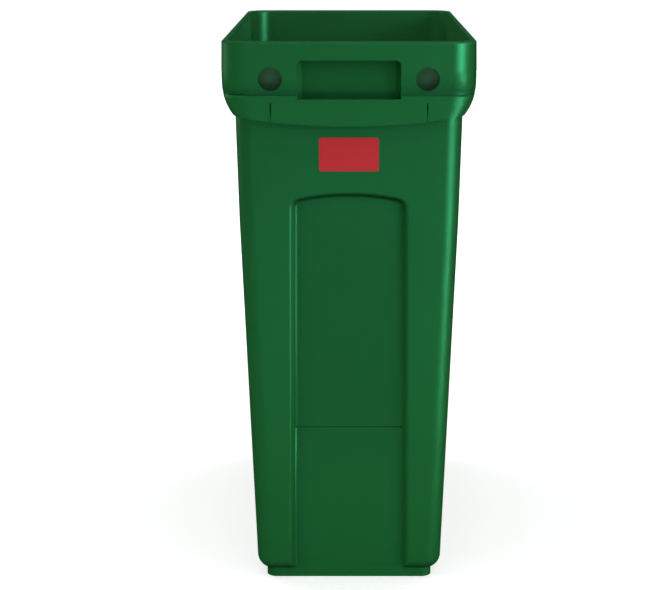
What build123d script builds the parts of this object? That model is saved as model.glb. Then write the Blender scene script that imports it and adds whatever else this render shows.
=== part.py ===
from build123d import *
from math import sqrt
import os

# Slim waste bin with an open mouth: a tapered container, the collar that finishes
# its mouth and carries the hand grips and liner cinches, and a plain label plate.
# Millimetres. X is the width, Y the length, Z up; the photographed end faces -Y and
# the origin is on the floor under the middle of the bin.

# Overall size, over the collar
overall_length = 558.8
overall_width = 279.4
overall_height = 632.5
wall = 3.0

# Collar band, measured down from the top of the rim
collar_corner_radius = 28.0
band_height = 30.0
band_lean = 0.5
rim_width = 6.5
rim_outer_round = 1.2
rim_inner_round = 1.5
mouth_corner_radius = 26.0

# Shoulder that turns the collar in to the container along the two long sides
shoulder_start_drop = 46.0
shoulder_radius = 53.5
shoulder_foot_drop = 81.5
toe_corner_radius = 20.0

# Apron that hangs over each narrow end: a curve under the band, a groove and a lip
under_curve_height = 25.5
under_curve_shares = (0, 0.5, 1)
groove_set_back = 6.5
groove_height = 2.2
lip_set_back = 3.0
lip_edge_round = 1.6
lip_shares = (0, 0.35, 0.7, 1)
apron_drop = 91.1
sole_edge_drop = 78.3
end_wall_set_back = 17.4

# Hand grip in each narrow end
grip_width = 113.0
grip_height = 42.3
grip_drop = 19.4
grip_corner_radius = 6.5
cheek_lean = 5.0

# Liner cinches: a hole and a slit on each side of each hand grip
cinch_spacing = 171.0
cinch_radius = 13.0
cinch_drop = 39.7
slit_width = 1.3
slit_drop = 66.0

# Container, outside: set in from the collar, with walls that taper in two slopes
seat_drop = 71.3
side_overhang = 13.8
end_overhang = 17.1
knee_drop = 131.0
upper_side_taper = 3.0
upper_end_taper = 4.0
lower_side_taper = 15.5
lower_end_taper = 20.3
container_corner_radius = 19.0
bottom_round = 17.0
flange_overhang = 3.0
flange_thickness = 3.0
seat_clearance = 0.25

# Foot ring under the container
foot_set_back = 10.3
foot_height = 10.0
foot_wall = 4.0
foot_corner_radius = 12.0

# Tall arched recess in each narrow end
recess_top_drop = 100.9
recess_top_width = 119.0
recess_base_width = 126.0
recess_arch_rise = 7.0
recess_arch_corner = 7.0
recess_depth = 9.2
recess_draft = 28.0
recess_round = 4.0
crease_height = 187.8
crease_width = 1.3
crease_depth = 0.9

# Venting channels, two in each long side, hollow outside and proud inside
channel_spacing = 200.0
channel_top_drop = 24.0
channel_width = 26.0
channel_depth = 8.0
channel_draft = 24.0
channel_round = 3.0

# Plain label plate above the front recess
label_width = 66.0
label_height = 37.5
label_drop = 34.0
label_corner_radius = 2.5
label_thickness = 0.8
label_pocket_depth = 0.4

# One overrun for every cut that has to pass right through
overrun = 12.0

# Levels that several pieces share
top_z = overall_height
container_z = top_z - seat_drop
flange_z = container_z - flange_thickness
knee_z = container_z - knee_drop
floor_z = foot_height + wall
end_wall_y = overall_length / 2 - end_wall_set_back

# Widths and lengths of the container that follow from its place in the collar
container_top_width = overall_width - 2 * side_overhang
container_top_length = overall_length - 2 * end_overhang
knee_width = container_top_width - 2 * upper_side_taper
knee_length = container_top_length - 2 * upper_end_taper
base_width = knee_width - 2 * lower_side_taper
base_length = knee_length - 2 * lower_end_taper
foot_width = base_width - 2 * foot_set_back
foot_length = base_length - 2 * foot_set_back


def section(z, width, length, radius):
    """A rounded rectangle lying level at height z."""
    return (Pos(0, 0, z) * RectangleRounded(width, length, radius)).face()


def block(*sections):
    """A solid with straight walls between level sections."""
    return loft(list(sections), ruled=True)


def wall_sections(inset):
    """Sections of the container, from the foot to the seat, moved in by inset."""
    radius = container_corner_radius - inset
    low = section(foot_height, base_width - 2 * inset, base_length - 2 * inset, radius)
    knee = section(knee_z, knee_width - 2 * inset, knee_length - 2 * inset, radius)
    high = section(container_z, container_top_width - 2 * inset, container_top_length - 2 * inset, radius)
    return low, knee, high


def container_envelope(inset):
    """The container as if it were solid, without its grooves, moved in by inset."""
    low, knee, high = wall_sections(inset)
    return block(low, knee) + block(knee, high)


def wall_height_share(z, low_z, high_z):
    return (z - low_z) / (high_z - low_z)


def half_length_at(z):
    """Distance of the container's narrow end from the middle, at height z."""
    if z < knee_z:
        share = wall_height_share(z, foot_height, knee_z)
        return (base_length + share * (knee_length - base_length)) / 2
    share = wall_height_share(z, knee_z, container_z)
    return (knee_length + share * (container_top_length - knee_length)) / 2


def half_width_at(z):
    """Distance of the container's long side from the middle, at height z."""
    if z < knee_z:
        share = wall_height_share(z, foot_height, knee_z)
        return (base_width + share * (knee_width - base_width)) / 2
    share = wall_height_share(z, knee_z, container_z)
    return (knee_width + share * (container_top_width - knee_width)) / 2


def leaning_plane(foot, head, across):
    """A plane through two points of a wall, facing outwards, with x along across."""
    up = (head - foot).normalized()
    return Plane(origin=foot, x_dir=across, z_dir=across.cross(up))


def recess_outline(half_top, half_base, height, below):
    """The arch: nearly straight sides and a shallow curved head, open at its foot."""
    slope = (half_top - half_base) / height
    foot_half = half_base - slope * below
    side_height = height - recess_arch_rise
    sides = Polyline((half_top, side_height), (foot_half, -below),
                     (-foot_half, -below), (-half_top, side_height))
    head = ThreePointArc((-half_top, side_height), (0, height), (half_top, side_height))
    outline = make_face(sides + head)
    heads = outline.vertices().sort_by(Axis.Y)[-2:]
    return fillet(heads, recess_arch_corner)


def recess_plane():
    """The recess floor: flush with the foot ring below, recess_depth in at the arch."""
    head_z = container_z - recess_top_drop
    foot = Vector(0, -foot_length / 2, foot_height)
    head = Vector(0, -half_length_at(head_z) + recess_depth, head_z)
    return leaning_plane(foot, head, Vector(1, 0, 0)), (head - foot).length


def recess_tool(grow):
    """The space of the front recess, or with grow the outside of its inner skin."""
    plane, height = recess_plane()
    half_top = recess_top_width / 2 + grow
    half_base = recess_base_width / 2 + grow
    outline = recess_outline(half_top, half_base, height + grow, foot_height + overrun)
    floor_plane = plane.offset(-grow)
    tool = extrude(floor_plane * outline, recess_depth + grow + overrun, taper=-recess_draft)
    return round_floor(tool, floor_plane, recess_round + grow)


def round_floor(tool, floor_plane, radius):
    """Round the edges of a tool's innermost face, apart from its open foot."""
    floor_face = tool.faces().sort_by_distance(floor_plane.origin)[0]
    return fillet(floor_face.edges().sort_by(Axis.Z)[1:], radius)


def crease_tool():
    """A shallow groove across the recess floor."""
    plane, height = recess_plane()
    share = (crease_height - foot_height) / height
    length = recess_base_width + share * (recess_top_width - recess_base_width)
    across = Plane(origin=plane.origin + plane.y_dir * (crease_height - foot_height),
                   x_dir=plane.z_dir, z_dir=plane.x_dir)
    groove = Polyline((crease_depth, crease_width), (-crease_depth, 0),
                      (crease_depth, -crease_width), close=True)
    return extrude(across * make_face(groove), length / 2, both=True)


def channel_tool(grow):
    """The space of one venting channel at the middle of the +X side."""
    head_z = container_z - channel_top_drop
    foot = Vector(half_width_at(foot_height) - channel_depth, 0, foot_height)
    head = Vector(half_width_at(head_z) - channel_depth, 0, head_z)
    plane = leaning_plane(foot, head, Vector(0, 1, 0)).offset(-grow)
    half = channel_width / 2 + grow
    height = (head - foot).length + grow
    below = foot_height + overrun
    sides = Polyline((half, height - half), (half, -below), (-half, -below), (-half, height - half))
    head_arc = ThreePointArc((-half, height - half), (0, height), (half, height - half))
    outline = make_face(sides + head_arc)
    tool = extrude(plane * outline, channel_depth + grow + overrun, taper=-channel_draft)
    return round_floor(tool, plane, channel_round + grow)


def soft_cut(body, tool, radius):
    """Cut tool out of body and round the edge that the cut leaves on its walls."""
    cut = body - tool
    mouth = new_edges(body, tool, combined=cut)
    return fillet([edge for edge in mouth if edge.bounding_box().max.Z > floor_z], radius)


def both_ends(tool):
    return tool + Rot(0, 0, 180) * tool


def two_recesses(grow):
    tool = recess_tool(grow)
    return [tool, Rot(0, 0, 180) * tool]


def four_channels(grow):
    tool = channel_tool(grow)
    side_pair = [Pos(0, side * channel_spacing / 2, 0) * tool for side in (-1, 1)]
    return side_pair + [Rot(0, 0, 180) * channel for channel in side_pair]


def label_plane():
    """The front wall above the knee, with its origin under the label's middle."""
    foot = Vector(0, -half_length_at(knee_z), knee_z)
    head = Vector(0, -half_length_at(container_z), container_z)
    plane = leaning_plane(foot, head, Vector(1, 0, 0))
    middle_z = container_z - label_drop - label_height / 2
    plane.origin = Vector(0, -half_length_at(middle_z), middle_z)
    return plane


def label_plate(thickness):
    """A plate of the label's outline, with its back on the floor of the label's pocket."""
    outline = RectangleRounded(label_width, label_height, label_corner_radius)
    return extrude(label_plane().offset(-label_pocket_depth) * outline, thickness)


def make_foot_ring():
    outside = section(0, foot_width, foot_length, foot_corner_radius)
    inside = section(0, foot_width - 2 * foot_wall, foot_length - 2 * foot_wall,
                     foot_corner_radius - foot_wall)
    return extrude(outside, floor_z) - extrude(inside, foot_height)


def make_container():
    """One thin-walled moulding: walls, floor, foot ring, recesses and channels."""
    outside = container_envelope(0)
    bottom_edges = outside.faces().sort_by(Axis.Z)[0].edges()
    outside = fillet(bottom_edges, bottom_round)
    for recess in two_recesses(0):
        outside = soft_cut(outside, recess, recess_round)
    for channel in four_channels(0):
        outside = soft_cut(outside, channel, channel_round)
    outside = outside - both_ends(crease_tool())

    inside_low = section(floor_z, base_width - 2 * wall, base_length - 2 * wall,
                         container_corner_radius - wall)
    low, knee, high = wall_sections(wall)
    inside = block(inside_low, knee) + block(knee, high)
    inner_edges = inside.faces().sort_by(Axis.Z)[0].edges()
    inside = fillet(inner_edges, bottom_round - wall)
    for tool in two_recesses(wall) + four_channels(wall):
        inside = inside - tool

    flange = section(flange_z, container_top_width + 2 * flange_overhang,
                     container_top_length + 2 * flange_overhang, container_corner_radius + flange_overhang)
    body = outside + extrude(flange, flange_thickness) + make_foot_ring() - inside
    return body - label_plate(label_pocket_depth + overrun)


def make_label_plate():
    return label_plate(label_thickness)


def shoulder_inset(drop):
    """How far the collar's long sides have turned in, at a drop below the rim."""
    below = min(max(drop, shoulder_start_drop), shoulder_foot_drop) - shoulder_start_drop
    return shoulder_radius - sqrt(shoulder_radius ** 2 - below ** 2)


def curve_set_back(drop):
    """How far the curve under the band has drawn back, at a drop below the rim."""
    share = (drop - band_height) / under_curve_height
    return groove_set_back * share ** 2


def collar_section(drop, set_back, inset):
    """A level section of the collar: its ends are set back, and all of it is in by inset."""
    side = shoulder_inset(drop)
    share = side / shoulder_inset(shoulder_foot_drop)
    radius = collar_corner_radius + share * (toe_corner_radius - collar_corner_radius)
    width = overall_width - 2 * side - 2 * inset
    length = overall_length - 2 * set_back - 2 * inset
    return section(top_z - drop, width, length, radius - inset)


def under_curve(top_drop, foot_drop, inset):
    """One stage of the curve under the band, smooth between two drops."""
    drops = [top_drop + share * (foot_drop - top_drop) for share in under_curve_shares]
    return loft([collar_section(drop, curve_set_back(drop), inset) for drop in drops])


def collar_body(inset):
    """The collar as if solid, moved in by inset: band, curve under it, groove and lip."""
    groove_drop = band_height + under_curve_height
    ledge_drop = groove_drop + groove_height + inset
    lip_drop = ledge_drop + lip_edge_round
    lip_height = shoulder_foot_drop - lip_drop
    band = block(collar_section(band_height, 0, inset), collar_section(0, 0, inset + band_lean))
    upper_curve = under_curve(band_height, shoulder_start_drop, inset)
    lower_curve = under_curve(shoulder_start_drop, groove_drop, inset)
    groove = block(collar_section(ledge_drop, groove_set_back, inset),
                   collar_section(groove_drop, groove_set_back, inset))
    lip_edge = block(collar_section(lip_drop, lip_set_back, inset),
                     collar_section(ledge_drop, lip_set_back + lip_edge_round, inset))
    lip_drops = [lip_drop + share * lip_height for share in lip_shares]
    lip = loft([collar_section(drop, lip_set_back, inset) for drop in lip_drops])
    toe = block(collar_section(apron_drop + overrun, lip_set_back, inset),
                collar_section(shoulder_foot_drop, lip_set_back, inset))
    return band + upper_curve + lower_curve + groove + lip_edge + lip + toe


def above_sole():
    """All that is above the collar's lower edge, which bows down over each narrow end."""
    half = overall_width / 2
    edge_z = top_z - sole_edge_drop
    high = top_z + overrun
    bow = ThreePointArc((-half, edge_z), (0, top_z - apron_drop), (half, edge_z))
    sides = Polyline((half, edge_z), (half + overrun, edge_z), (half + overrun, high),
                     (-half - overrun, high), (-half - overrun, edge_z), (-half, edge_z))
    return extrude(Plane.XZ * make_face(bow + sides), overall_length, both=True)


def mouth_section(z):
    """The opening of the rim, between its long sides and the inner end walls."""
    return section(z, overall_width - 2 * rim_width, 2 * end_wall_y - 2 * wall, mouth_corner_radius)


def make_mouth():
    """The opening above the container, closing in with the shoulder at its foot."""
    band_z = top_z - band_height
    low = extrude(mouth_section(container_z), band_z - container_z) & collar_body(wall)
    return low + extrude(mouth_section(band_z), band_height + overrun)


def end_hollows():
    """The space between the aprons and the inner end walls, open at its foot."""
    ceiling_z = top_z - wall
    foot_z = top_z - apron_drop - overrun
    room = section(foot_z, overall_width, overall_length, collar_corner_radius)
    hollow = collar_body(wall) & extrude(room, ceiling_z - foot_z)
    inner = section(container_z, overall_width, 2 * end_wall_y, mouth_corner_radius + rim_width)
    toe = section(foot_z, overall_width, 2 * end_wall_y - 2 * wall, collar_corner_radius)
    return hollow - extrude(inner, top_z - container_z) - extrude(toe, container_z - foot_z)


def cheek():
    """One side wall of a hand grip: straight behind the apron, then leaning inwards."""
    front_y = -overall_length / 2
    lean_y = front_y + groove_set_back + wall
    back_y = -end_wall_y
    x_front = grip_width / 2
    x_back = x_front - cheek_lean
    plan = Polyline((x_front, front_y), (x_front + wall, front_y), (x_front + wall, lean_y),
                    (x_back + wall, back_y), (x_back, back_y), (x_front, lean_y), close=True)
    return Pos(0, 0, container_z) * extrude(make_face(plan), top_z - wall - container_z)


def grip_windows():
    middle_z = top_z - grip_drop - grip_height / 2
    outline = Rectangle(grip_width, grip_height)
    upper = outline.vertices().sort_by(Axis.Y)[-2:]
    outline = fillet(upper, grip_corner_radius)
    return both_ends(end_cut(outline, 0, middle_z, groove_set_back + wall))


def end_cut(outline, x, z, depth):
    """A cut into the front apron, from outside it to a depth behind its face."""
    plane = Plane(origin=(x, -overall_length / 2 - overrun, z), x_dir=(-1, 0, 0), z_dir=(0, 1, 0))
    return extrude(plane * outline, overrun + depth)


def cinch_cuts():
    """A round hole and, below it, a narrow slit on each side of each hand grip."""
    depth = groove_set_back + 2 * wall
    slit_top_z = top_z - slit_drop
    slit_foot_z = top_z - apron_drop - overrun
    slit = Rectangle(slit_width, slit_top_z - slit_foot_z)
    cuts = None
    for side in (-1, 1):
        x = side * cinch_spacing / 2
        hole = end_cut(Circle(cinch_radius), x, top_z - cinch_drop, depth)
        gap = end_cut(slit, x, (slit_top_z + slit_foot_z) / 2, depth)
        cuts = hole + gap if cuts is None else cuts + hole + gap
    return both_ends(cuts)


def container_space():
    """What the collar leaves for the container's wall and its flange."""
    knee, high = wall_sections(-seat_clearance)[1:]
    flange = section(flange_z, container_top_width + 2 * flange_overhang + 2 * seat_clearance,
                     container_top_length + 2 * flange_overhang + 2 * seat_clearance,
                     container_corner_radius + flange_overhang + seat_clearance)
    return block(knee, high) + extrude(flange, flange_thickness)


def make_rim_collar():
    """The collar: band, shoulders, aprons with grips and cinches, inner end walls."""
    outside = collar_body(0) & above_sole()
    outer_rim = outside.faces().sort_by(Axis.Z)[-1].edges()
    outside = fillet(outer_rim, rim_outer_round)
    cheeks = both_ends(cheek() + mirror(cheek(), Plane.YZ)) & outside
    collar = outside - end_hollows() + cheeks - make_mouth()
    inner_rim = collar.faces().sort_by(Axis.Z)[-1].inner_wires()[0].edges()
    collar = fillet(inner_rim, rim_inner_round)
    return collar - grip_windows() - cinch_cuts() - container_space()


parts = {
    "container": make_container,
    "rim_collar": make_rim_collar,
    "label_plate": make_label_plate,
}

os.makedirs("parts", exist_ok=True)
for name, make in parts.items():
    export_step(make(), "parts/" + name + ".step")
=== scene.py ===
from math import radians

import bmesh
import bpy
from mathutils import Matrix


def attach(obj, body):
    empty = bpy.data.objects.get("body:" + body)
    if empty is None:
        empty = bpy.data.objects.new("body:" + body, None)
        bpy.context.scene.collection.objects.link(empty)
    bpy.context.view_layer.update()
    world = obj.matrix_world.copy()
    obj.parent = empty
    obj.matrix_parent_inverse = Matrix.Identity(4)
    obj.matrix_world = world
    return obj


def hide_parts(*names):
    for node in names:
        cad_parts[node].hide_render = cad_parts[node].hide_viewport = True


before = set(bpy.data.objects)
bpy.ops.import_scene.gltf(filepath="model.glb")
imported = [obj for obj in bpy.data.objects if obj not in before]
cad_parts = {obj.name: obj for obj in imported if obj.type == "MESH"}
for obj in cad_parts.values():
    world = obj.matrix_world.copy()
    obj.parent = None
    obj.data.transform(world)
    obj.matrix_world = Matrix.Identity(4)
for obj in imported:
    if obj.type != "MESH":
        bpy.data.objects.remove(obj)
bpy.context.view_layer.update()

# Container: the tapered tub that stands on the floor, one injection moulding in green
# polyethylene. Foot ring, end recesses and side channels are moulded in, and the top edge
# ends in a flange that the collar snaps over.
weld_distance = 1e-6
flat_angle = radians(0.3)
crisp_angle = radians(40)
edge_segments = 2
container_edge_round = 0.0005


def linear(hex_colour):
    """An sRGB hex colour as the linear colour that a shader socket takes."""
    shares = [int(hex_colour[i:i + 2], 16) / 255 for i in (1, 3, 5)]
    return [s / 12.92 if s <= 0.04045 else ((s + 0.055) / 1.055) ** 2.4 for s in shares] + [1]


def add_node(tree, kind, values=(), links=(), **settings):
    """One node with its settings, its socket values and what is linked to its sockets."""
    node = tree.nodes.new(kind)
    for name, value in settings.items():
        setattr(node, name, value)
    for socket, value in dict(values).items():
        node.inputs[socket].default_value = value
    for socket, source in dict(links).items():
        tree.links.new(source, node.inputs[socket])
    return node


def moulded_skin(node, name, edge_round):
    """The surface of a CAD node as one closed mesh, its crisp edges a little round."""
    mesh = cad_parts[node].data.copy()
    mesh.materials.clear()
    mesh.attributes.remove(mesh.attributes["custom_normal"])
    skin = bmesh.new()
    skin.from_mesh(mesh)
    bmesh.ops.remove_doubles(skin, verts=skin.verts, dist=weld_distance)
    bmesh.ops.dissolve_limit(skin, angle_limit=flat_angle, verts=skin.verts, edges=skin.edges)
    crisp = [edge for edge in skin.edges if edge.calc_face_angle(0) > crisp_angle]
    bmesh.ops.bevel(skin, geom=crisp, affect="EDGES", offset=edge_round, segments=edge_segments,
                    profile=0.5, material=-1, clamp_overlap=True)
    for face in skin.faces:
        face.smooth = True
    skin.to_mesh(mesh)
    skin.free()
    mesh.set_sharp_from_angle(angle=crisp_angle)
    piece = bpy.data.objects.new(name, mesh)
    bpy.context.collection.objects.link(piece)
    normals = piece.modifiers.new("even shading", "WEIGHTED_NORMAL")
    normals.keep_sharp = True
    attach(piece, "root")
    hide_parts(node)
    return piece


def moulded_polyethylene():
    """Injection-moulded polyethylene: a soft, faintly uneven sheen over a fine grain.

    Light that enters the waxy, slightly translucent plastic comes back green, so its
    highlights are green too. Corners, faces that look down, the body under the collar and
    the walls behind the grips are painted darker as painted shade. The walls inside the bin
    and behind the cinch holes are painted lighter as painted light, and the rim top is rubbed
    dull and painted darker as painted shade.
    """
    cloud_size = 0.11
    ripple_size = 0.07
    ripple_height = 0.0012
    grain_size = 0.0014  # coarser than the real grain of 0.3 mm, which is too fine to show
    grain_height = 0.00012
    scuff_length = 0.05
    scuff_width = 0.0016

    # The recess panel lies where y, from the bin's middle outwards, is foot + lean * z.
    panel_foot = 0.2241
    panel_lean = 0.0602
    panel_half_width = 0.059
    panel_fade = 0.003
    plane_near = 0.0008
    plane_far = 0.002

    # An inner wall's place times its normal is below these, and an outer wall's above.
    side_inside = -0.07
    end_inside = -0.2
    inside_fade = 0.02

    corner_reach = 0.02
    corner_deep = 0.5
    corner_open = 0.96
    ledge_down = -0.8
    ledge_fade = 0.5
    ledge_shade = 0.6
    overhang_shade_foot = 0.33
    overhang_shade_full = 0.46
    overhang_shade_depth = 0.17
    lip_foot = 0.541

    hidden_wall_y = 0.262
    hidden_wall_foot = 0.565
    hidden_wall_near = 0.0015
    cinch_hole = (0.0855, hidden_wall_y, 0.5928)
    hidden_wall_shade = 0.14
    hole_patch_reach = 0.015
    hole_patch_fade = 0.003
    rim_edge = 0.6295
    rim_fade = 0.002
    rim_rub_and_shade_amount = 0.4

    scuff_contrast = (0.35, 0.75)
    skin_roughness = (0.37, 0.41)
    painted_shade_dulls = 0.25
    core_roughness = 0.34
    wear_dulls = 0.55

    material = bpy.data.materials.new("moulded green polyethylene, fine grain")
    material.use_nodes = True
    tree = material.node_tree
    tree.nodes.clear()
    place = add_node(tree, "ShaderNodeTexCoord").outputs["Object"]
    normal = add_node(tree, "ShaderNodeNewGeometry").outputs["True Normal"]

    # The bin's two ends are alike, and so are its two sides: one quarter's places do for all.
    folded = add_node(tree, "ShaderNodeVectorMath", {}, {0: place}, operation="ABSOLUTE")
    spot = add_node(tree, "ShaderNodeSeparateXYZ", {}, {"Vector": folded.outputs["Vector"]})

    # Broad, faint clouds in the dyed plastic.
    clouds = add_node(tree, "ShaderNodeTexNoise", {"Scale": 1 / cloud_size, "Detail": 3},
                      {"Vector": place})
    colour = add_node(tree, "ShaderNodeMix", {"A": linear("#185B25"), "B": linear("#1B622A")},
                      {"Factor": clouds.outputs["Fac"]}, data_type="RGBA")

    # The sunk end panels are coloured a shade darker than the walls round them.
    panel_y = add_node(tree, "ShaderNodeMath", {1: panel_lean, 2: panel_foot},
                       {0: spot.outputs["Z"]}, operation="MULTIPLY_ADD")
    off_panel = add_node(tree, "ShaderNodeMath", {},
                         {0: spot.outputs["Y"], 1: panel_y.outputs[0]}, operation="SUBTRACT")
    off_panel = add_node(tree, "ShaderNodeMath", {}, {0: off_panel.outputs[0]},
                         operation="ABSOLUTE")
    on_panel = add_node(tree, "ShaderNodeMapRange",
                        {"From Min": plane_near, "From Max": plane_far, "To Min": 1, "To Max": 0},
                        {"Value": off_panel.outputs[0]})
    between = add_node(tree, "ShaderNodeMapRange",
                       {"From Min": panel_half_width - panel_fade, "From Max": panel_half_width,
                        "To Min": 1, "To Max": 0},
                       {"Value": spot.outputs["X"]})
    darker_sunk_panel = add_node(tree, "ShaderNodeMath", {}, {0: on_panel.outputs[0], 1: between.outputs[0]},
                      operation="MULTIPLY")
    colour = add_node(tree, "ShaderNodeMix", {"B": linear("#195723")},
                      {"Factor": darker_sunk_panel.outputs[0], "A": colour.outputs["Result"]},
                      data_type="RGBA")

    # Painted light: the walls that face into the bin are painted a lighter, greyer green.
    inward = add_node(tree, "ShaderNodeVectorMath", {}, {0: place, 1: normal},
                      operation="MULTIPLY")
    inward = add_node(tree, "ShaderNodeSeparateXYZ", {}, {"Vector": inward.outputs["Vector"]})
    side_wall = add_node(tree, "ShaderNodeMapRange",
                         {"From Min": side_inside, "From Max": side_inside + inside_fade,
                          "To Min": 1, "To Max": 0},
                         {"Value": inward.outputs["X"]})
    end_wall = add_node(tree, "ShaderNodeMapRange",
                        {"From Min": end_inside, "From Max": end_inside + inside_fade,
                         "To Min": 1, "To Max": 0},
                        {"Value": inward.outputs["Y"]})
    inside = add_node(tree, "ShaderNodeMath", {},
                      {0: side_wall.outputs[0], 1: end_wall.outputs[0]}, operation="MAXIMUM")
    colour = add_node(tree, "ShaderNodeMix", {"B": linear("#286836")},
                      {"Factor": inside.outputs[0], "A": colour.outputs["Result"]},
                      data_type="RGBA")

    # Painted shade: corners and faces that look down are painted darker.
    corners = add_node(tree, "ShaderNodeAmbientOcclusion", {"Distance": corner_reach},
                       samples=8, only_local=True)
    painted_shade = add_node(tree, "ShaderNodeMapRange",
                     {"From Min": corner_deep, "From Max": corner_open, "To Min": 1, "To Max": 0},
                     {"Value": corners.outputs["AO"]})
    facing = add_node(tree, "ShaderNodeSeparateXYZ", {}, {"Vector": normal})
    under = add_node(tree, "ShaderNodeMapRange",
                     {"From Min": ledge_down, "From Max": ledge_down + ledge_fade,
                      "To Min": ledge_shade, "To Max": 0},
                     {"Value": facing.outputs["Z"]})
    painted_shade = add_node(tree, "ShaderNodeMath", {}, {0: painted_shade.outputs[0], 1: under.outputs[0]},
                     operation="ADD", use_clamp=True)

    # Painted shade: the body below the collar is painted darker the nearer it is to the collar's
    # overhang.
    film = add_node(tree, "ShaderNodeMapRange",
                    {"From Min": overhang_shade_foot, "From Max": overhang_shade_full, "To Min": 0,
                     "To Max": overhang_shade_depth},
                    {"Value": spot.outputs["Z"]})
    below_lip = add_node(tree, "ShaderNodeMath", {1: lip_foot}, {0: spot.outputs["Z"]},
                         operation="LESS_THAN")
    film = add_node(tree, "ShaderNodeMath", {}, {0: film.outputs[0], 1: below_lip.outputs[0]},
                    operation="MULTIPLY")
    painted_shade = add_node(tree, "ShaderNodeMath", {}, {0: painted_shade.outputs[0], 1: film.outputs[0]},
                     operation="ADD", use_clamp=True)

    # On the end walls behind the grips and the cinch holes the painted shade is set to one even
    # amount.
    off_wall = add_node(tree, "ShaderNodeMath", {1: hidden_wall_y}, {0: spot.outputs["Y"]},
                        operation="SUBTRACT")
    off_wall = add_node(tree, "ShaderNodeMath", {}, {0: off_wall.outputs[0]},
                        operation="ABSOLUTE")
    on_wall = add_node(tree, "ShaderNodeMath", {1: hidden_wall_near}, {0: off_wall.outputs[0]},
                       operation="LESS_THAN")
    high_up = add_node(tree, "ShaderNodeMath", {1: hidden_wall_foot}, {0: spot.outputs["Z"]},
                       operation="GREATER_THAN")
    hidden_wall = add_node(tree, "ShaderNodeMath", {},
                           {0: on_wall.outputs[0], 1: high_up.outputs[0]}, operation="MULTIPLY")
    painted_shade = add_node(tree, "ShaderNodeMix", {"B": hidden_wall_shade},
                     {"Factor": hidden_wall.outputs[0], "A": painted_shade.outputs[0]},
                     data_type="FLOAT")
    # The painted shade mixes in this dark green.
    colour = add_node(tree, "ShaderNodeMix", {"B": linear("#0A3217")},
                      {"Factor": painted_shade.outputs[0], "A": colour.outputs["Result"]},
                      data_type="RGBA")

    # Painted light: those walls behind each cinch hole are painted a pale, greyish green.
    from_hole = add_node(tree, "ShaderNodeVectorMath", {1: cinch_hole},
                         {0: folded.outputs["Vector"]}, operation="DISTANCE")
    hole_patch = add_node(tree, "ShaderNodeMapRange",
                     {"From Min": hole_patch_reach, "From Max": hole_patch_reach + hole_patch_fade,
                      "To Min": 1, "To Max": 0},
                     {"Value": from_hole.outputs["Value"]})
    hole_patch = add_node(tree, "ShaderNodeMath", {},
                     {0: hole_patch.outputs[0], 1: hidden_wall.outputs[0]}, operation="MULTIPLY")
    colour = add_node(tree, "ShaderNodeMix", {"B": linear("#48634A")},
                      {"Factor": hole_patch.outputs[0], "A": colour.outputs["Result"]},
                      data_type="RGBA")

    # Lids and liners rub the top of the rim dull, and its colour is painted darker there as
    # painted shade on the top face.
    rim_rub_and_shade = add_node(tree, "ShaderNodeMapRange",
                    {"From Min": rim_edge, "From Max": rim_edge + rim_fade, "To Min": 0,
                     "To Max": rim_rub_and_shade_amount},
                    {"Value": spot.outputs["Z"]})
    colour = add_node(tree, "ShaderNodeMix", {"B": linear("#0A3217")},
                      {"Factor": rim_rub_and_shade.outputs[0], "A": colour.outputs["Result"]},
                      data_type="RGBA")

    # Faint upright scuffs dull the sheen, and so does the painted shade mask. The mould's
    # polished core leaves the walls inside the mouth and behind the grips smoother.
    stretch = add_node(tree, "ShaderNodeMapping",
                       {"Scale": (1 / scuff_width, 1 / scuff_width, 1 / scuff_length)},
                       {"Vector": place})
    scuffs = add_node(tree, "ShaderNodeTexNoise", {"Scale": 1, "Detail": 2},
                      {"Vector": stretch.outputs["Vector"]})
    dull = add_node(tree, "ShaderNodeMapRange",
                    {"From Min": scuff_contrast[0], "From Max": scuff_contrast[1],
                     "To Min": skin_roughness[0], "To Max": skin_roughness[1]},
                    {"Value": scuffs.outputs["Fac"]})
    dull = add_node(tree, "ShaderNodeMath", {1: painted_shade_dulls},
                    {0: painted_shade.outputs[0], 2: dull.outputs[0]}, operation="MULTIPLY_ADD")
    core_side = add_node(tree, "ShaderNodeMath", {},
                         {0: inside.outputs[0], 1: hidden_wall.outputs[0]}, operation="MAXIMUM")
    dull = add_node(tree, "ShaderNodeMix", {"B": core_roughness},
                    {"Factor": core_side.outputs[0], "A": dull.outputs[0]}, data_type="FLOAT")
    dull = add_node(tree, "ShaderNodeMath", {1: wear_dulls},
                    {0: rim_rub_and_shade.outputs[0], 2: dull.outputs["Result"]}, operation="MULTIPLY_ADD")

    # A slight ripple from cooling, and the fine grain of the mould on it.
    ripple = add_node(tree, "ShaderNodeTexNoise", {"Scale": 1 / ripple_size, "Detail": 1},
                      {"Vector": place})
    rippled = add_node(tree, "ShaderNodeBump", {"Strength": 0.5, "Distance": ripple_height},
                       {"Height": ripple.outputs["Fac"]})
    grain = add_node(tree, "ShaderNodeTexNoise", {"Scale": 1 / grain_size, "Detail": 1},
                     {"Vector": place})
    grained = add_node(tree, "ShaderNodeBump", {"Strength": 0.35, "Distance": grain_height},
                       {"Height": grain.outputs["Fac"], "Normal": rippled.outputs["Normal"]})

    plastic = add_node(tree, "ShaderNodeBsdfPrincipled",
                       {"IOR": 1.54, "Specular IOR Level": 1, "Specular Tint": linear("#5AFFAF")},
                       {"Base Color": colour.outputs["Result"], "Roughness": dull.outputs[0],
                        "Normal": grained.outputs["Normal"]})
    add_node(tree, "ShaderNodeOutputMaterial", {}, {"Surface": plastic.outputs["BSDF"]})
    return material


green_polyethylene = moulded_polyethylene()
container = moulded_skin("container", "container_moulding", container_edge_round)
container.data.materials.append(green_polyethylene)

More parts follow.
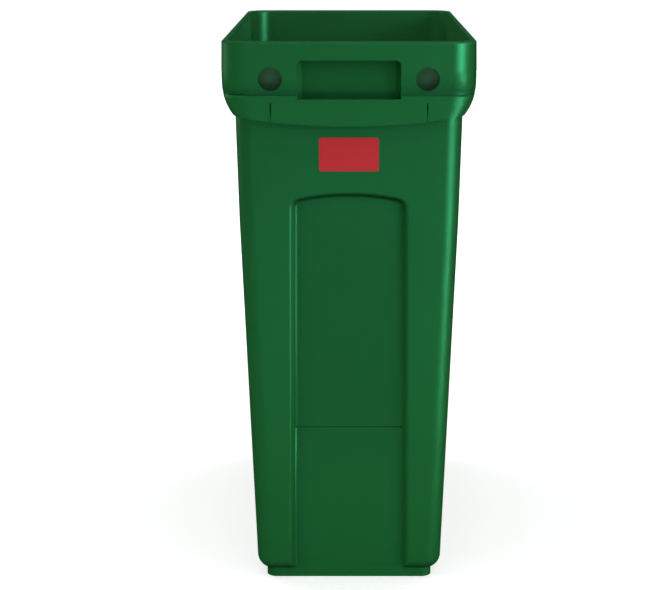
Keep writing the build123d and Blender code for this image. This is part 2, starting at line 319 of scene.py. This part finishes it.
# Rim collar: the band that stiffens the mouth, moulded in the same green polyethylene and
# double-walled at its ends, which have the hand grips, liner cinch holes and slits. It snaps
# over the container's flange.
collar_edge_round = 0.0006

collar = moulded_skin("rim_collar", "rim_collar_moulding", collar_edge_round)
collar.data.materials.append(green_polyethylene)

# Label plate: a thin polyester film let into the wall above the front recess, plain red
# under a clear top coat.
label_edge_round = 0.0002


def plain_red_film():
    """Polyester label film: a flat, even red under a clear coat with a little peel."""
    peel_size = 0.004
    peel_height = 0.0001

    material = bpy.data.materials.new("red polyester label film, clear coated")
    material.use_nodes = True
    tree = material.node_tree
    tree.nodes.clear()
    place = add_node(tree, "ShaderNodeTexCoord").outputs["Object"]
    peel = add_node(tree, "ShaderNodeTexNoise", {"Scale": 1 / peel_size, "Detail": 2},
                    {"Vector": place})
    colour = add_node(tree, "ShaderNodeMix", {"A": linear("#C20C1A"), "B": linear("#CA111F")},
                      {"Factor": peel.outputs["Fac"]}, data_type="RGBA")
    waved = add_node(tree, "ShaderNodeBump", {"Strength": 0.3, "Distance": peel_height},
                     {"Height": peel.outputs["Fac"]})
    film = add_node(tree, "ShaderNodeBsdfPrincipled",
                    {"IOR": 1.57, "Roughness": 0.3, "Coat Weight": 0.2, "Coat Roughness": 0.2},
                    {"Base Color": colour.outputs["Result"], "Normal": waved.outputs["Normal"]})
    add_node(tree, "ShaderNodeOutputMaterial", {}, {"Surface": film.outputs["BSDF"]})
    return material


label = moulded_skin("label_plate", "label_plate_film", label_edge_round)
label.data.materials.append(plain_red_film())

# Studio floor: white paper under the bin. A glow that only the camera and reflections see
# keeps it white, and is weaker round the bin, where the soft shadow shows.
floor_reach = 6
near_glow = 0.55
far_glow = 1
glow_rises_from = 0.4
glow_full_from = 1.2


def seen_rays(tree):
    """1 for rays from the camera, reflections and clear materials, 0 for light's own rays."""
    rays = add_node(tree, "ShaderNodeLightPath").outputs
    seen = add_node(tree, "ShaderNodeMath", {},
                    {0: rays["Is Camera Ray"], 1: rays["Is Glossy Ray"]}, operation="ADD")
    seen = add_node(tree, "ShaderNodeMath", {},
                    {0: seen.outputs[0], 1: rays["Is Transmission Ray"]}, operation="ADD",
                    use_clamp=True)
    return seen.outputs[0]


paper = bpy.data.materials.new("white studio paper")
paper.use_nodes = True
paper_tree = paper.node_tree
paper_tree.nodes.clear()
paper_place = add_node(paper_tree, "ShaderNodeTexCoord").outputs["Object"]
away = add_node(paper_tree, "ShaderNodeVectorMath", {}, {0: paper_place}, operation="LENGTH")
glow = add_node(paper_tree, "ShaderNodeMapRange",
                {"From Min": glow_rises_from, "From Max": glow_full_from,
                 "To Min": near_glow, "To Max": far_glow},
                {"Value": away.outputs["Value"]}, interpolation_type="SMOOTHSTEP")
glow = add_node(paper_tree, "ShaderNodeMath", {}, {0: seen_rays(paper_tree), 1: glow.outputs[0]},
                operation="MULTIPLY")
matt = add_node(paper_tree, "ShaderNodeBsdfDiffuse", {"Color": linear("#E2E2E2")})
shine = add_node(paper_tree, "ShaderNodeEmission", {}, {"Strength": glow.outputs[0]})
both = add_node(paper_tree, "ShaderNodeAddShader", {}, {0: matt.outputs[0], 1: shine.outputs[0]})
add_node(paper_tree, "ShaderNodeOutputMaterial", {}, {"Surface": both.outputs[0]})

sheet = bmesh.new()
bmesh.ops.create_grid(sheet, x_segments=1, y_segments=1, size=floor_reach)
floor_mesh = bpy.data.meshes.new("studio_floor")
sheet.to_mesh(floor_mesh)
sheet.free()
floor_mesh.materials.append(paper)
floor = bpy.data.objects.new("studio_floor", floor_mesh)
bpy.context.collection.objects.link(floor)

# Studio flags: black velvet on the floor and round the set. Only the sheen of the bin sees
# them, so its green stays deep and the lamps draw clear highlights on its corners.
flag_radius = 3.2
flag_height = 5.0
flag_sides = 48
flag_lift = 0.0005

velvet = bpy.data.materials.new("black studio velvet")
velvet.use_nodes = True
velvet_tree = velvet.node_tree
velvet_tree.nodes.clear()
pile = add_node(velvet_tree, "ShaderNodeBsdfDiffuse", {"Color": linear("#101010")})
add_node(velvet_tree, "ShaderNodeOutputMaterial", {}, {"Surface": pile.outputs[0]})

curtain = bmesh.new()
bmesh.ops.create_circle(curtain, segments=flag_sides, radius=flag_radius, cap_ends=True)
walls = bmesh.ops.extrude_edge_only(curtain, edges=list(curtain.edges))["geom"]
bmesh.ops.translate(curtain, vec=(0, 0, flag_height),
                    verts=[part for part in walls if isinstance(part, bmesh.types.BMVert)])
bmesh.ops.translate(curtain, vec=(0, 0, flag_lift), verts=curtain.verts)
curtain_mesh = bpy.data.meshes.new("studio_flags")
curtain.to_mesh(curtain_mesh)
curtain.free()
curtain_mesh.materials.append(velvet)
flags = bpy.data.objects.new("studio_flags", curtain_mesh)
bpy.context.collection.objects.link(flags)
flags.visible_camera = False
flags.visible_diffuse = False
flags.visible_shadow = False
flags.visible_transmission = False

# Studio light: a dim white room and rectangular lamps on stands round the bin. The fill lamps
# light its colour, and the sheen lamps only draw highlights, most of them on its right-hand
# corners.
room_light = 0.44

# Each lamp's degrees round from the camera, height and distance of its stand, width and height
# of its panel, tilt in degrees, where 90 is upright, and watts.
fill_lamps = {
    "right fill": (55, 1.7, 2.2, 1.4, 1.4, 60, 3.5),
    "left fill": (-55, 1.7, 2.2, 1.4, 1.4, 60, 6.5),
    "back right fill": (125, 1.7, 2.2, 1.4, 1.4, 60, 9),
    "back left fill": (-125, 1.7, 2.2, 1.4, 1.4, 60, 15),
    "front fill": (0, 1.6, 2.5, 1.6, 1.2, 65, 2.5),
    "overhead fill": (0, 2.6, 0.6, 1.6, 1.2, 15, 6),
    "low front fill": (0, 0.15, 1.1, 1.2, 0.3, 90, 2.7),
    "right side fill": (88, 0.9, 2.4, 1.2, 1.4, 90, 10),
}
sheen_lamps = {
    "rear panel": (180, 0.33, 2.3, 0.9, 0.5, 90, 9),
    "right panel": (41, 0.35, 2.3, 0.7, 0.7, 90, 6.4),
    "right spot": (43, 1.08, 2.3, 0.7, 0.4, 90, 43),
    "low right strip": (50, 0.18, 1.2, 0.4, 0.36, 90, 2.5),
    "near right strip": (51, 0.05, 0.72, 0.25, 0.1, 90, 0.15),
    "left panel": (-107, 1.3, 2.6, 1.9, 2.4, 90, 8.5),
}

room = bpy.data.worlds.new("white studio")
bpy.context.scene.world = room
room.use_nodes = True
room_tree = room.node_tree
room_tree.nodes.clear()
level = add_node(room_tree, "ShaderNodeMapRange", {"To Min": room_light, "To Max": 1},
                 {"Value": seen_rays(room_tree)})
white = add_node(room_tree, "ShaderNodeBackground", {"Color": linear("#FFFFFF")},
                 {"Strength": level.outputs["Result"]})
add_node(room_tree, "ShaderNodeOutputWorld", {}, {"Surface": white.outputs[0]})

for fills, lamps in ((True, fill_lamps), (False, sheen_lamps)):
    for name, (azimuth, height, distance, width, tall, tilt, watts) in lamps.items():
        lamp = bpy.data.lights.new(name, "AREA")
        lamp.shape = "RECTANGLE"
        lamp.size = width
        lamp.size_y = tall
        lamp.energy = watts
        stand = bpy.data.objects.new(name, lamp)
        stand.matrix_world = (Matrix.Rotation(radians(azimuth), 4, "Z")
                              @ Matrix.Translation((0, -distance, height))
                              @ Matrix.Rotation(radians(tilt), 4, "X"))
        stand.visible_camera = False
        stand.visible_diffuse = fills
        stand.visible_glossy = not fills
        bpy.context.collection.objects.link(stand)

# Camera: a long lens at the photograph's place, in front of the narrow end and looking
# down a little. The bin stands right of the middle of the picture.
picture_width = 660
focal_length_in_pixels = 1723.7
bin_offset_in_pixels = 19
look_down = radians(12.906)
camera_place = (0, -2.1461, 0.7817)

view = bpy.data.cameras.new("camera")
view.sensor_width = 36
view.lens = view.sensor_width * focal_length_in_pixels / picture_width
view.shift_x = -bin_offset_in_pixels / picture_width
camera = bpy.data.objects.new("camera", view)
camera.location = camera_place
camera.rotation_euler = (radians(90) - look_down, 0, 0)
bpy.context.collection.objects.link(camera)
bpy.context.scene.camera = camera
bpy.context.scene.view_settings.view_transform = "Standard"
